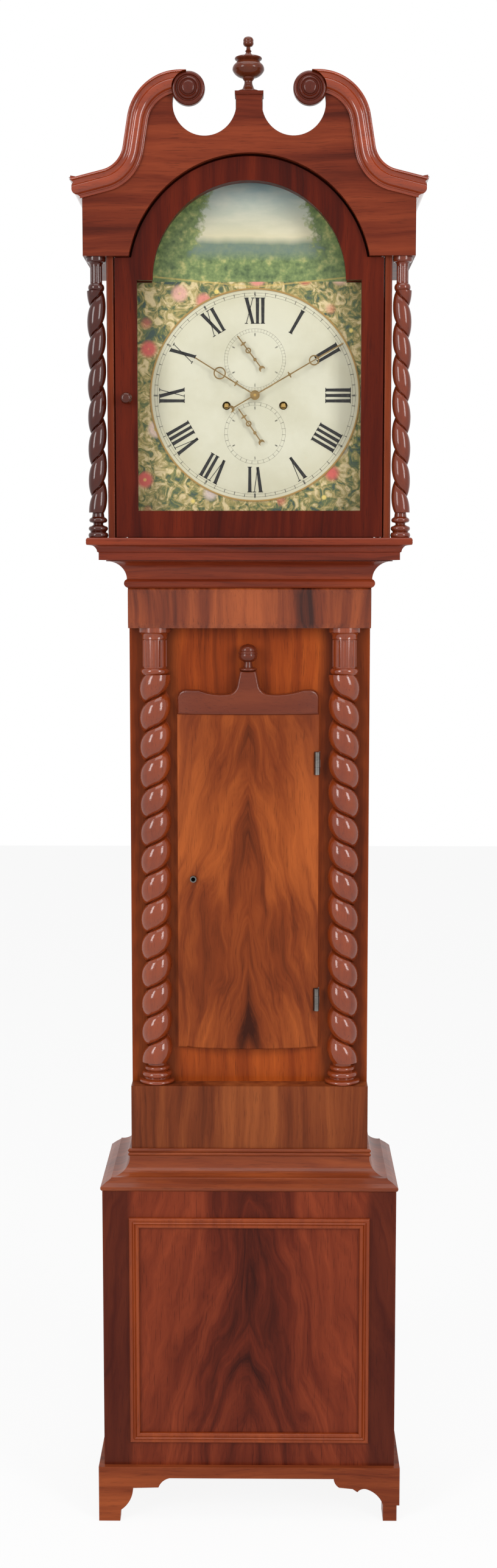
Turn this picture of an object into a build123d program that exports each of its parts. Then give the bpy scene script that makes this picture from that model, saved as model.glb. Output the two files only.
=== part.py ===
"""Longcase clock with a painted arched dial, barley-twist columns and a swan-neck pediment.

Millimetres. X runs to the right as one faces the dial, Y runs to the back, Z up.
The origin is on the floor, under the middle of the clock.
"""
import math
import os

from build123d import *

os.makedirs("parts", exist_ok=True)

# Planes from front to back
HORN_TIP_Y = -127.5
PEDIMENT_Y = -110.5
SKIRT_Y = -104.0
HOOD_DOOR_Y = -102.5
PLINTH_Y = -96.0
MASK_Y = -81.0
DIAL_Y = -60.0
BAND_Y = -54.5
TRUNK_Y = -25.0
BACKBOARD_Y = 117.5
BACK_Y = 127.5

# Heights of the case
SKIRT_TOP = 87.0
PLINTH_TOP = 520.5
BAND_TOP = 672.0
FRIEZE_BOTTOM = 1367.5
THROAT_BOTTOM = 1427.0
CASE_TOP = 1467.5
HOOD_BOTTOM = CASE_TOP + 0.3
HOOD_FLOOR = 1499.8
PEDIMENT_BOTTOM = 1897.0
CORNICE_BOTTOM = 1977.0
PEDESTAL_TOP = 2123.0

# Half widths
SKIRT_HALF = 230.5
PLINTH_HALF = 222.0
TRUNK_HALF = 180.0
HOOD_SIDE_HALF = 204.0
PEDIMENT_HALF = 236.4
HOOD_DOOR_HALF = 192.0

# Panel moulding of the plinth: half width, bottom and top
PANEL = (182.0, 124.2, 479.4)

# Boards
FRONT_BOARD = 18.0
SIDE_BOARD = 13.0
HOOD_SIDE_BOARD = 10.0

# The arch that the hood door, the mask and the dial share
ARCH_Z = 1864.5
PEDIMENT_ARCH_R = 174.5
DOOR_ARCH_R = 171.0
GLASS_ARCH_R = 138.0
GLASS_HALF = 160.5
GLASS_BOTTOM = 1538.5

# Swan neck, the scooped cut-outs beside the pedestal and the paterae
NECK_PATH = ((88, 2134.5), (148.8, 2134.5), (169.1, 2008), (PEDIMENT_HALF + 40, 1981))
NECK_BENDS = (61, 53)
RETURN_Z = 1991.0
NECK_HALF_WIDTH = 14.0
NECK_PROJECTION = PEDIMENT_Y - HORN_TIP_Y
SCOOP = (62.9, 2107.0)
SCOOP_R = 45.0
PATERA = (85.3, 2125.0)
PATERA_R = 23.4

# Columns
TRUNK_COLUMN_X = 142.0
TRUNK_COLUMN_Y = -27.5
TRUNK_TWIST = (705.0, 1297.5, 43.8, 23.9)
HOOD_COLUMN_X = 219.0
HOOD_COLUMN_Y = -94.0
HOOD_TWIST = (1536.0, 1850.0, 44.9, 13.4)
TWIST_CORE = 0.46

# Trunk door
DOOR_LEFT = -108.6
DOOR_RIGHT = 103.9
DOOR_BOTTOM = 727.0
DOOR_JOINT = 1238.0
DOOR_BACK_Y = -25.6
DOOR_EDGE_Y = -36.0
DOOR_BOW = 10.0
DOOR_MIDDLE = (DOOR_LEFT + DOOR_RIGHT) / 2
OPENING = (-97.0, 95.0, 740.0, 1250.0)
HINGE_AXIS = (101.8, -36.0)
HINGE_BOTTOMS = (785.4, 1147.4)
HINGE_LENGTH = 34.2
KNUCKLE_R = 4.0
PIN_R = 1.5
RUNNING_FIT = 0.05

# Hood door
HOOD_PIN = (189.5, -100.0)
HOOD_PIN_R = 1.8
HOOD_DOOR_BOTTOM = 1500.8
HOOD_DOOR_SHOULDER = 1896.0
HOOD_DOOR_THICK = 20.0

# Movement: places as (x, z), and planes between the plates
CENTRE = (8.0, 1706.0)
GOING = (49.4, 1691.5)
STRIKE = (-33.4, 1691.5)
SECONDS = (8.0, 1757.0)
DATE = (8.0, 1652.0)
THIRD = (16.87, 1731.71)
PALLET = (8.0, 1781.0)
PIN_ARBOR = (-33.4, 1727.62)
FLY = (-29.0, 1752.43)
MINUTE_STUD = (8.0, 1678.0)
HAMMER = (-45.0, 1775.0)
FRONT_PLATE_Y = (-9.0, -6.0)
BACK_PLATE_Y = (51.0, 54.0)
SEATBOARD = (1620.0, 1640.0)
PENDULUM_Y = 70.0
PENDULUM_LENGTH = 994.0
LINE_Y = 22.0
LINE_R = 20.0
WEIGHT_R = 27.0
PULLEY_REST_Z = 515.0
WEIGHT_HEIGHT = 230.0

# Dial
DIAL_HALF = 178.0
DIAL_BOTTOM = 1528.7
DIAL_SHOULDER = 1884.7
DIAL_ARCH = (8.0, 1868.0, 150.0)


def save(name, *pieces):
    """Writes one sub-part, made of one or more separate solids."""
    solids = []
    for piece in pieces:
        solids.extend(piece.solids())
    export_step(Compound(children=[Solid(s.wrapped) for s in solids], label=name), f"parts/{name}.step")


def box(x, y, z):
    """A block between two limits on each axis."""
    size = (x[1] - x[0], y[1] - y[0], z[1] - z[0])
    middle = ((x[0] + x[1]) / 2, (y[0] + y[1]) / 2, (z[0] + z[1]) / 2)
    return Pos(*middle) * Box(*size)


def outline(*points):
    """A closed outline. (x, z) ends a straight run; (x, z, bulge) ends an arc that stands off its
    chord by bulge, to the right of the way it goes."""
    edges = []
    for here, there in zip(points, points[1:] + points[:1]):
        start, end = Vector(here[0], here[1]), Vector(there[0], there[1])
        if len(there) == 2:
            edges.append(Line(start, end))
            continue
        run = end - start
        right = Vector(run.Y, -run.X).normalized()
        edges.append(ThreePointArc(start, (start + end) * 0.5 + right * there[2], end))
    face = make_face(Wire(edges))
    if not face.is_valid:
        print("crossed outline:", points)
    return face


def front_plane(y, x=0.0):
    """A plane that faces the front: its x is the clock's X and its y is the clock's Z."""
    return Plane(origin=(x, y, 0), x_dir=(1, 0, 0), z_dir=(0, -1, 0))


def board(face, y):
    """A flat board of the given front outline, between two Y planes."""
    return extrude(front_plane(y[0]) * face, amount=y[1] - y[0], dir=(0, 1, 0))


def upright(face, z):
    """A prism that stands on the plan outline given, between two heights."""
    return extrude(Pos(0, 0, z[0]) * face, amount=z[1] - z[0], dir=(0, 0, 1))


def disc(centre, radius, y):
    """A round plate or arbor that lies along Y."""
    return board(Pos(*centre) * Circle(radius), y)


def post(x, y, radius, z):
    """An upright round post."""
    return Pos(x, y, z[0]) * Cylinder(radius, z[1] - z[0], align=(Align.CENTER, Align.CENTER, Align.MIN))


def turned(x, y, *profile):
    """A turning about an upright axis; the profile goes up the outside as (radius, z, bulge)."""
    closed = [(0.0, profile[0][1]), profile[0][:2], *profile[1:], (0.0, profile[-1][1])]
    return Pos(x, y, 0) * revolve(Plane.XZ * outline(*closed), axis=Axis.Z)


def turned_to_front(centre, y, *profile):
    """A turning about an axis along Y; the profile goes from the back to the front as
    (radius, distance in front of y, bulge)."""
    closed = [(0.0, profile[0][1]), profile[0][:2], *profile[1:], (0.0, profile[-1][1])]
    standing = revolve(Plane.XZ * outline(*closed), axis=Axis.Z)
    return Pos(centre[0], y, centre[1]) * Rot(90, 0, 0) * standing


def mirrored(piece):
    return mirror(piece, about=Plane.YZ)


def surround(profile, half, face_y, back_y, inner=30.0):
    """A moulding round the front and both sides, in three lengths mitred at the front corners.
    The profile is drawn as (how far it stands out, height)."""
    reach = 80.0
    along_front = Plane(origin=(half + reach, face_y, 0), x_dir=(0, -1, 0), z_dir=(-1, 0, 0))
    front = extrude(along_front * profile, amount=2 * (half + reach), dir=(-1, 0, 0))
    side = extrude(front_plane(face_y - reach, half) * profile, amount=back_y - face_y + reach,
                   dir=(0, 1, 0))
    front_zone = Polyline((-half - reach, face_y - reach), (half + reach, face_y - reach),
                          (half - inner, face_y + inner), (inner - half, face_y + inner), close=True)
    side_zone = Polyline((half + reach, face_y - reach), (half + reach, back_y),
                         (half - inner, back_y), (half - inner, face_y + inner), close=True)
    front = front & upright(make_face(front_zone), (0, 3000))
    side = side & upright(make_face(side_zone), (0, 3000))
    return [front, side, mirrored(side)]


def tunnel_arch(half, bottom, shoulder, radius, centre_z=ARCH_Z):
    """A rectangle with a round arch on it; where the arch is narrower, it stands on square shoulders."""
    shape = Pos(0, (bottom + shoulder) / 2) * Rectangle(2 * half, shoulder - bottom)
    dome = Pos(0, centre_z) * Circle(radius)
    dome = dome & (Pos(0, centre_z + radius) * Rectangle(2 * radius, 2 * radius + 2 * (centre_z - bottom)))
    below = Pos(0, bottom - 500) * Rectangle(1000, 1000)
    return shape + (dome - below)


def skirt():
    """The base board with its bracket feet: front, two sides, and the block that mends a foot."""
    left = ((-198, 0), (-197, 17.5), (-178, 53, 5), (-139, 54), (-122, 69, -3))
    right = ((129.5, 69), (138, 55, 2), (158.5, 53), (166, 48), (182, 52, -3), (205.5, 27, -4))
    ends = ((SKIRT_HALF, 27), (SKIRT_HALF, SKIRT_TOP), (-SKIRT_HALF, SKIRT_TOP), (-SKIRT_HALF, 0))
    front = board(outline(*left, *right, *ends), (SKIRT_Y, SKIRT_Y + 20))
    side_shape = outline((20, 0), (23, 18), (42, 53, 5), (80, 54), (96, 69, -3), (132, 69), (148, 54, -3),
                         (180, 53), (200, 18, 5), (203, 0), (221.5, 0),
                         (221.5, SKIRT_TOP), (-30, SKIRT_TOP), (-30, 0))
    side_plane = Plane(origin=(-SKIRT_HALF, SKIRT_Y, 0), x_dir=(0, 1, 0), z_dir=(1, 0, 0))
    side = extrude(side_plane * side_shape, amount=20, dir=(1, 0, 0))
    corner = SKIRT_Y + 20
    zone = Polyline((-SKIRT_HALF - 40, SKIRT_Y - 40), (SKIRT_HALF + 40, SKIRT_Y - 40),
                    (SKIRT_HALF - 20, corner), (20 - SKIRT_HALF, corner), close=True)
    front = front & upright(make_face(zone), (-1, 200))
    side_zone = Polyline((-SKIRT_HALF, SKIRT_Y), (-SKIRT_HALF + 20, corner),
                         (-SKIRT_HALF + 20, BACKBOARD_Y),
                         (-SKIRT_HALF, BACKBOARD_Y), close=True)
    side = side & upright(make_face(side_zone), (-1, 200))
    other = mirrored(side) - box((200, 240), (SKIRT_Y - 1, -62), (-1, 27))
    mend = box((205.5, 226.5), (SKIRT_Y + 4, -62), (0, 27))
    save("skirt", front, side, other, mend)


def plinth():
    front = box((-PLINTH_HALF, PLINTH_HALF), (PLINTH_Y, PLINTH_Y + FRONT_BOARD), (SKIRT_TOP, PLINTH_TOP))
    side = box((PLINTH_HALF - 14, PLINTH_HALF), (PLINTH_Y + FRONT_BOARD, BACKBOARD_Y),
               (SKIRT_TOP, PLINTH_TOP))
    floor = box((14 - PLINTH_HALF, PLINTH_HALF - 14), (PLINTH_Y + FRONT_BOARD, BACKBOARD_Y),
                (SKIRT_TOP, SKIRT_TOP + 12))
    save("plinth_carcass", front, side, mirrored(side), floor)
    double_bead = outline((0, 0), (0, 15.3), (1.5, 15.3), (4.5, 9.5, -2.6), (6.5, 8), (6.5, 7), (4.5, 5.5),
                          (1.5, 0, -2.4))
    lengths = []
    half_wide = PANEL[0]
    half_high = (PANEL[2] - PANEL[1]) / 2
    centre_z = (PANEL[1] + PANEL[2]) / 2
    for half, reach, turn in ((half_wide, half_high, 0), (half_high, half_wide, 90)):
        strip = Plane(origin=(0, PLINTH_Y, 0), x_dir=(0, -1, 0), z_dir=(-1, 0, 0)) * double_bead
        strip = Pos(-half, 0, -reach) * extrude(strip, amount=2 * half, dir=(1, 0, 0))
        zone = outline((-half, -reach), (half, -reach), (half - 15.3, 15.3 - reach),
                       (15.3 - half, 15.3 - reach))
        strip = strip & board(zone, (PLINTH_Y - 20, PLINTH_Y))
        for flip in (0, 180):
            lengths.append(Pos(0, 0, centre_z) * Rot(0, turn + flip, 0) * strip)
    save("plinth_panel_moulding", *lengths)


def plinth_top():
    """The broad cove between plinth and trunk, with two beads above it."""
    cove = outline((0, PLINTH_TOP), (41, PLINTH_TOP), (44.5, 527.5, 1.6), (38, 532), (30, 536.3), (29, 538),
                   (3, 563.5, -9), (3, 569.2, 2.2), (3, 575, 2.2), (0, 575))
    save("plinth_top_moulding", *surround(cove, TRUNK_HALF, BAND_Y, BACKBOARD_Y))
    band = box((-TRUNK_HALF, TRUNK_HALF), (BAND_Y, TRUNK_Y), (PLINTH_TOP - 20, BAND_TOP))
    save("trunk_lower_band", band)


def trunk():
    side = box((TRUNK_HALF - SIDE_BOARD, TRUNK_HALF), (TRUNK_Y + FRONT_BOARD, BACKBOARD_Y),
               (440, SEATBOARD[0]))
    save("trunk_sides", side, mirrored(side))
    frame = box((-TRUNK_HALF, TRUNK_HALF), (TRUNK_Y, TRUNK_Y + FRONT_BOARD), (PLINTH_TOP - 20, CASE_TOP))
    frame -= box(OPENING[:2], (TRUNK_Y - 1, TRUNK_Y + FRONT_BOARD + 1), OPENING[2:])
    for z in HINGE_BOTTOMS:
        frame -= box((104.6, 106.2), (TRUNK_Y - 1, -13), (z, z + HINGE_LENGTH))
    save("trunk_front_frame", frame)
    frieze = outline((-29.5, FRIEZE_BOTTOM), (-3, FRIEZE_BOTTOM), (0, 1382, 1.2), (0, 1412),
                     (-3, THROAT_BOTTOM, 1.2),
                     (-29.5, THROAT_BOTTOM))
    along = Plane(origin=(TRUNK_HALF, BAND_Y, 0), x_dir=(0, -1, 0), z_dir=(-1, 0, 0))
    save("cushion_frieze", extrude(along * frieze, amount=2 * TRUNK_HALF, dir=(-1, 0, 0)))
    throat = outline((0, THROAT_BOTTOM), (2.5, 1428.5), (2.5, 1439, 2.6), (1, 1440),
                     (29, 1466, -8), (29, CASE_TOP), (0, CASE_TOP))
    backing = box((-TRUNK_HALF, TRUNK_HALF), (BAND_Y, TRUNK_Y), (THROAT_BOTTOM, CASE_TOP))
    save("throat_moulding", *surround(throat, TRUNK_HALF, BAND_Y, BACKBOARD_Y), backing)


def backboard():
    low = outline((-208, SKIRT_TOP), (208, SKIRT_TOP), (208, PLINTH_TOP), (167, PLINTH_TOP), (167, 1480),
                  (192, 1480), (192, 1870), (-192, 1870), (-192, 1480), (-167, 1480),
                  (-167, PLINTH_TOP), (-208, PLINTH_TOP))
    arch = Pos(0, 1864.5) * Circle(168)
    arch = arch & (Pos(0, 2060) * Rectangle(400, 400))
    save("backboard", board(low + arch, (BACKBOARD_Y, BACK_Y)))


def twist(x, y, span, pitch, radius):
    """A barley twist: a section that swells all round but for one groove, turned once in each pitch."""
    points = []
    for degrees in range(-165, 181, 15):
        swell = math.sqrt(1 - (degrees / 180) ** 2)
        reach = radius * (TWIST_CORE + (1 - TWIST_CORE) * swell)
        turn = math.radians(degrees)
        points.append((reach * math.cos(turn), reach * math.sin(turn)))
    section = make_face(Spline(*points, periodic=True)).faces()[0]
    height = span[1] - span[0]
    turns = height / pitch
    rope = Solid.extrude_linear_with_rotation(section, (0, 0, 0), (0, 0, height), -360 * turns)
    return Pos(x, y, span[0]) * rope


def trunk_columns():
    """Half columns against the trunk: turned base, barley twist, hollow-faceted neck and capital."""
    start, end, pitch, radius = TRUNK_TWIST
    x, y = TRUNK_COLUMN_X, TRUNK_COLUMN_Y
    base = turned(x, y, (24.7, BAND_TOP), (24.7, 678, 2.6), (20, 679.5), (19, 681), (21, 682),
                  (21, 690, 2.4),
                  (17, 691), (18, 692.5), (18, 698.5, 1.8), (15, 700), (14, start + 6))
    neck = turned(x, y, (14, end - 4), (18, end), (20, end + 1, 0.6), (20, end + 9, 1.6), (18, end + 10),
                  (18, 1350),
                  (19.5, 1351), (24.5, 1361, -2.5), (24.5, FRIEZE_BOTTOM))
    for step in range(10):
        turn = math.radians(36 * step + 18)
        neck -= post(x + 21.5 * math.cos(turn), y + 21.5 * math.sin(turn), 5.6, (end + 12, 1349))
    column = base + twist(x, y, (start, end), pitch, radius) + neck
    front = box((x - 40, x + 40), (-90, TRUNK_Y), (600, 1400))
    save("trunk_column_right", column & front)
    save("trunk_column_left", mirrored(column & front))


def hood_columns():
    """Slender columns that stand free in front of the hood's sides."""
    start, end, pitch, radius = HOOD_TWIST
    x, y = HOOD_COLUMN_X, HOOD_COLUMN_Y
    base = turned(x, y, (13, HOOD_FLOOR), (13, 1507, 1.5), (11, 1508), (12.5, 1510), (12.5, 1516, 1.6),
                  (8, 1518),
                  (8, 1521, -1), (11.5, 1522), (11.5, 1528, 1.6), (9, 1530), (7.5, start + 4))
    neck = turned(x, y, (7, end - 3), (10, end), (10, 1859, 1.6), (8.6, 1860), (8.6, 1885),
                  (12.5, 1890, -1.5),
                  (14, 1892), (14, PEDIMENT_BOTTOM))
    for step in range(8):
        turn = math.radians(45 * step)
        neck -= post(x + 10.6 * math.cos(turn), y + 10.6 * math.sin(turn), 3.2, (1862, 1884))
    column = base + twist(x, y, (start, end), pitch, radius) + neck
    save("hood_column_right", column)
    save("hood_column_left", mirrored(column))


def trunk_door():
    """A bow-fronted door with rounded edges, lying over the opening, and its shaped head."""
    def bowed(proud):
        edge = DOOR_EDGE_Y - proud
        middle = Vector(DOOR_MIDDLE, edge - DOOR_BOW)
        back_left, back_right = (DOOR_LEFT, DOOR_BACK_Y), (DOOR_RIGHT, DOOR_BACK_Y)
        front_left, front_right = (DOOR_LEFT, edge + 4), (DOOR_RIGHT, edge + 4)
        front = ThreePointArc(front_right, middle, front_left)
        sides = [Line(back_left, back_right), Line(back_right, front_right), front,
                 Line(front_left, back_left)]
        return make_face(Wire(sides))

    panel = upright(bowed(0), (DOOR_BOTTOM, DOOR_JOINT))
    keyhole = disc((-85, 989), 5, (-60, -20))
    panel -= keyhole
    for z in HINGE_BOTTOMS:
        panel -= box((96.8, 110), (-60, -31), (z - 0.6, z + HINGE_LENGTH + 0.6))
        panel -= box((102.3, 110), (-60, -26.9), (z, z + HINGE_LENGTH))
    panel = fillet(panel.edges().group_by(Axis.Z)[0].sort_by(Axis.Y)[:1], 3)
    save("trunk_door_panel", panel)
    left, right, middle = DOOR_LEFT, DOOR_RIGHT, DOOR_MIDDLE
    head_line = outline((left, DOOR_JOINT), (right, DOOR_JOINT), (right, 1262), (right - 14, 1275.4, 4.5),
                        (80, 1275), (30, 1269, -2.5), (14, 1284, -4), (10, 1304), (-14.6, 1304),
                        (-18.6, 1284),
                        (-34, 1269, -4), (-76, 1275, -2.5), (left + 14, 1275.4), (left, 1262, 4.5))
    head = board(head_line, (-62, DOOR_BACK_Y)) & upright(bowed(3), (DOOR_JOINT, DOOR_JOINT + 80))
    front_edges = head.faces().sort_by(Axis.Y)[0].edges()
    head = fillet(front_edges, 4)
    acorn = turned(middle, -40, (9, 1304), (12.3, 1304.5), (12.3, 1308, 1), (7, 1309), (6, 1317),
                   (11, 1319.5),
                   (13.6, 1329, 1.5), (14.2, 1330.5, 0.6), (12.5, 1333, 0.6), (3.5, 1343, 3), (1.5, 1344))
    save("trunk_door_head", head, acorn)


def hinges():
    x, y = HINGE_AXIS
    fixed, moving = [], []
    third = HINGE_LENGTH / 3
    for z in HINGE_BOTTOMS:
        pin = post(x, y, PIN_R, (z, z + HINGE_LENGTH))
        middle = post(x, y, KNUCKLE_R, (z + third + 0.2, z + 2 * third - 0.2))
        leaf = box((104.6, 106.2), (y + 1, -13), (z, z + HINGE_LENGTH))
        leaf -= box((100, 110), (y - 5, -25), (z - 1, z + third + 0.2))
        leaf -= box((100, 110), (y - 5, -25), (z + 2 * third - 0.2, z + HINGE_LENGTH + 1))
        fixed.append(pin + middle + leaf)
        bore = post(x, y, PIN_R + RUNNING_FIT, (z - 1, z + HINGE_LENGTH + 1))
        plate = box((102.3, DOOR_RIGHT), (y, -26.9), (z, z + HINGE_LENGTH))
        plate -= box((90, 110), (y - 5, y + KNUCKLE_R + 0.3), (z + third - 0.1, z + 2 * third + 0.1))
        for low in (z, z + 2 * third + 0.1):
            plate += post(x, y, KNUCKLE_R, (low, low + third - 0.1))
        moving.append(plate - bore)
    save("trunk_hinges_fixed", *fixed)
    save("trunk_door_hinges", *moving)


def lock():
    case = box((-92, -52), (DOOR_BACK_Y, -2), (970, 1012))
    slot = box((-93, -60), (-7, -3), (984, 994))
    case -= slot
    case -= disc((-85, 989), 3.5, (-30, -8))
    escutcheon = disc((-85, 989), 4.9, (-44.5, -30)) - disc((-85, 989), 3.2, (-46, -29))
    save("trunk_lock", case, escutcheon)
    save("lock_bolt", box((-91.5, -66), (-6.9, -3.1), (984.1, 993.9)))


def hood_base():
    rail = outline((0, HOOD_BOTTOM), (37.5, HOOD_BOTTOM), (37.5, 1478.5), (39.5, 1479.5),
                   (50.5, 1489.5, -3),
                   (53.5, 1489.5), (54.2, 1494.5, 0.5), (52, HOOD_FLOOR, 1), (0, HOOD_FLOOR))
    front, right, left = surround(rail, TRUNK_HALF + 1.5, BAND_Y - 1.5, BACKBOARD_Y - 0.5, inner=4)
    front -= post(*HOOD_PIN, HOOD_PIN_R + RUNNING_FIT, (1492, 1510))
    save("hood_base_frame", front, right, left)


def hood_case():
    """The hood's side boards, the wider frieze boards above its columns, and the boards under them."""
    inner = HOOD_SIDE_HALF - HOOD_SIDE_BOARD
    stile = box((193.3, HOOD_SIDE_HALF), (-101, -80), (HOOD_FLOOR, PEDIMENT_BOTTOM))
    stile = fillet(stile.edges().filter_by(Axis.Z).sort_by(Axis.Y)[:2], 2.5)
    side = box((inner, HOOD_SIDE_HALF), (-80, 125), (HOOD_FLOOR, CORNICE_BOTTOM))
    upper = box((PEDIMENT_HALF - 12, PEDIMENT_HALF), (PEDIMENT_Y + 12, 125),
                (PEDIMENT_BOTTOM, CORNICE_BOTTOM))
    soffit = box((HOOD_SIDE_HALF, PEDIMENT_HALF - 12), (PEDIMENT_Y + 12, 125),
                 (PEDIMENT_BOTTOM, PEDIMENT_BOTTOM + 8))
    right = [stile, side, upper, soffit]
    save("hood_sides", *right, *[mirrored(piece) for piece in right])
    ring = Pos(0, ARCH_Z) * (Circle(184) - Circle(178.5))
    ring = ring & (Pos(0, CORNICE_BOTTOM + 200) * Rectangle(500, 400))
    ledge = Pos(178, CORNICE_BOTTOM + 3) * Rectangle(PEDIMENT_HALF * 2 - 2 * 178, 6)
    ledge = ledge - (Pos(0, ARCH_Z) * Circle(180))
    roof = ring + ledge + mirror(ledge, about=Plane.YZ)
    save("hood_roof", board(roof, (PEDIMENT_Y + 12, 125)))
    low, high = HOOD_FLOOR + 2.2, CORNICE_BOTTOM - 1
    mask = Pos(0, (low + high) / 2) * Rectangle(2 * 192.5, high - low)
    mask = mask + (Pos(0, ARCH_Z) * Circle(178))
    mask = mask - tunnel_arch(GLASS_HALF + 2, GLASS_BOTTOM - 2, ARCH_Z, GLASS_ARCH_R + 2)
    save("hood_mask", board(mask, (MASK_Y, MASK_Y + 8)))


def hood_door():
    y = (HOOD_DOOR_Y, HOOD_DOOR_Y + HOOD_DOOR_THICK)
    leaf = tunnel_arch(HOOD_DOOR_HALF, HOOD_DOOR_BOTTOM, HOOD_DOOR_SHOULDER, DOOR_ARCH_R)
    light = tunnel_arch(GLASS_HALF, GLASS_BOTTOM, ARCH_Z, GLASS_ARCH_R)
    rebate = tunnel_arch(GLASS_HALF + 5, GLASS_BOTTOM - 5, ARCH_Z + 5, GLASS_ARCH_R + 5)
    frame = board(leaf, y) - board(light, (y[0] - 1, y[1] + 1)) - board(rebate, (y[0] + 12, y[1] + 1))
    for z in ((HOOD_DOOR_BOTTOM - 1, HOOD_DOOR_BOTTOM + 12),
              (HOOD_DOOR_SHOULDER - 12, HOOD_DOOR_SHOULDER + 1)):
        frame -= post(*HOOD_PIN, HOOD_PIN_R, z)
    frame -= disc((-176, 1698), 3, (y[0] - 1, y[0] + 12))
    save("hood_door_frame", frame)
    glass = tunnel_arch(GLASS_HALF + 4.7, GLASS_BOTTOM - 4.7, ARCH_Z + 4.7, GLASS_ARCH_R + 4.7)
    save("hood_door_glass", board(glass, (y[0] + 12, y[0] + 14.5)))
    lower = post(*HOOD_PIN, HOOD_PIN_R, (1493, HOOD_DOOR_BOTTOM + 12))
    upper = post(*HOOD_PIN, HOOD_PIN_R, (HOOD_DOOR_SHOULDER - 12, 1904))
    save("hood_door_pins", lower, upper)
    knob = turned_to_front((-176, 1698), y[0], (3, -12), (3, 0), (5.5, 0), (5.5, 1.5), (3.2, 4, -0.6),
                           (7.8, 9, 1.2),
                           (7.8, 12, 0.5), (2.5, 16.5, 1.5))
    save("hood_door_knob", knob)


def neck_profile():
    """Across the moulding from its inner to its outer edge, and out from the board."""
    w, p = NECK_HALF_WIDTH, NECK_PROJECTION
    return ((-w, 0), (-w, 3), (-w + 4, 5, 1), (-w + 5, 6), (3, p - 4, -3.5), (w - 3, p, 3.2),
            (w, p - 2, 0.8), (w, 0))


def pediment():
    """The shaped board behind the swan neck, with scooped cut-outs and the pedestal between them."""
    outer = [(PEDIMENT_HALF, 2003), (203.3, 2008), (190.3, 2016.5), (183, 2027), (176, 2044.5),
             (172.5, 2061),
             (169.5, 2077.5), (162.5, 2101), (154.5, 2117), (140, 2131.5), (122, 2139.5)]
    right = [(0, PEDIMENT_BOTTOM), (PEDIMENT_HALF, PEDIMENT_BOTTOM), outer[0]]
    edges = [Line(right[0], right[1]), Line(right[1], right[2]), Spline(*outer),
             Line(outer[-1], (100, 2139.5)),
             Line((100, 2139.5), (0, 2139.5)), Line((0, 2139.5), right[0])]
    half = make_face(Wire(edges))
    half -= Pos(*SCOOP) * Circle(SCOOP_R)
    half -= Pos(52, 2137) * Rectangle(66, 60)
    half -= Pos(0, PEDESTAL_TOP + 50) * Rectangle(60, 100)
    half += Pos(*PATERA) * Circle(PATERA_R - 3)
    half -= Pos(0, ARCH_Z) * Circle(PEDIMENT_ARCH_R)
    panel = board(half + mirror(half, about=Plane.YZ), (PEDIMENT_Y, PEDIMENT_Y + 12))
    panel -= post(*HOOD_PIN, HOOD_PIN_R + RUNNING_FIT, (1890, 1905))
    cap = box((-20.2, 20.2), (PEDIMENT_Y - 2, PEDIMENT_Y + 28), (PEDESTAL_TOP - 5, PEDESTAL_TOP))
    pedestal = box((-19, 19), (PEDIMENT_Y + 12, PEDIMENT_Y + 26), (2050, PEDESTAL_TOP - 5))
    panel -= box((-21, 21), (PEDIMENT_Y - 1, PEDIMENT_Y + 13), (PEDESTAL_TOP - 5, PEDESTAL_TOP))
    save("pediment_board", panel, cap, pedestal)


def swan_neck(name, flip):
    """One S-shaped moulding with its return along the hood side, mitred at the corner."""
    path = front_plane(PEDIMENT_Y) * FilletPolyline(*NECK_PATH, radius=NECK_BENDS)
    start, along = path @ 0, path % 0
    section = Plane(origin=start, x_dir=Vector(0, -1, 0).cross(along), z_dir=along)
    profile = outline(*neck_profile())
    curved = sweep(section * profile, path=path)
    zone = Polyline((0, PEDIMENT_Y - 60), (PEDIMENT_HALF + 60, PEDIMENT_Y - 60),
                    (PEDIMENT_HALF, PEDIMENT_Y),
                    (0, PEDIMENT_Y), close=True)
    front = curved & upright(make_face(zone), (1900, 2300))
    front -= disc(PATERA, PATERA_R + RUNNING_FIT, (HORN_TIP_Y - 5, PEDIMENT_Y + 1))
    lie = Plane(origin=(PEDIMENT_HALF, PEDIMENT_Y - 60, RETURN_Z), x_dir=(0, 0, 1), z_dir=(0, 1, 0))
    side = extrude(lie * profile, amount=125 - PEDIMENT_Y + 60, dir=(0, 1, 0))
    side_zone = Polyline((PEDIMENT_HALF, PEDIMENT_Y), (PEDIMENT_HALF + 60, PEDIMENT_Y - 60),
                         (PEDIMENT_HALF + 60, 125),
                         (PEDIMENT_HALF, 125), close=True)
    side = side & upright(make_face(side_zone), (1900, 2300))
    pieces = [front, side]
    if flip:
        pieces = [mirrored(piece) for piece in pieces]
    save(name, *pieces)


def paterae_and_finial():
    patera = turned_to_front(PATERA, PEDIMENT_Y, (PATERA_R, 0), (PATERA_R, 7), (18.5, 11, 1.6), (17.4, 9.5),
                             (16, 9.5),
                             (13, 14, 0.8), (11, 12.5), (10, 12.5), (7, 16.2, 0.8), (1.5, 17))
    save("paterae", patera, mirrored(patera))
    urn = turned(-1.2, -97, (15.9, PEDESTAL_TOP), (15.9, 2125, 0.6), (7, 2132, -2), (5.6, 2139, -0.5),
                 (8, 2142), (9, 2144), (22.3, 2154, 2.2), (18, 2163, 1.5), (15.5, 2166), (18.6, 2168.5),
                 (18.6, 2171, 0.6), (6, 2174, -1), (3.4, 2178), (4.6, 2180), (3, 2182), (2.6, 2186),
                 (6.9, 2192.6, 2.2), (2, 2199.3, 2.2), (0.5, 2200))
    save("finial", urn)


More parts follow.
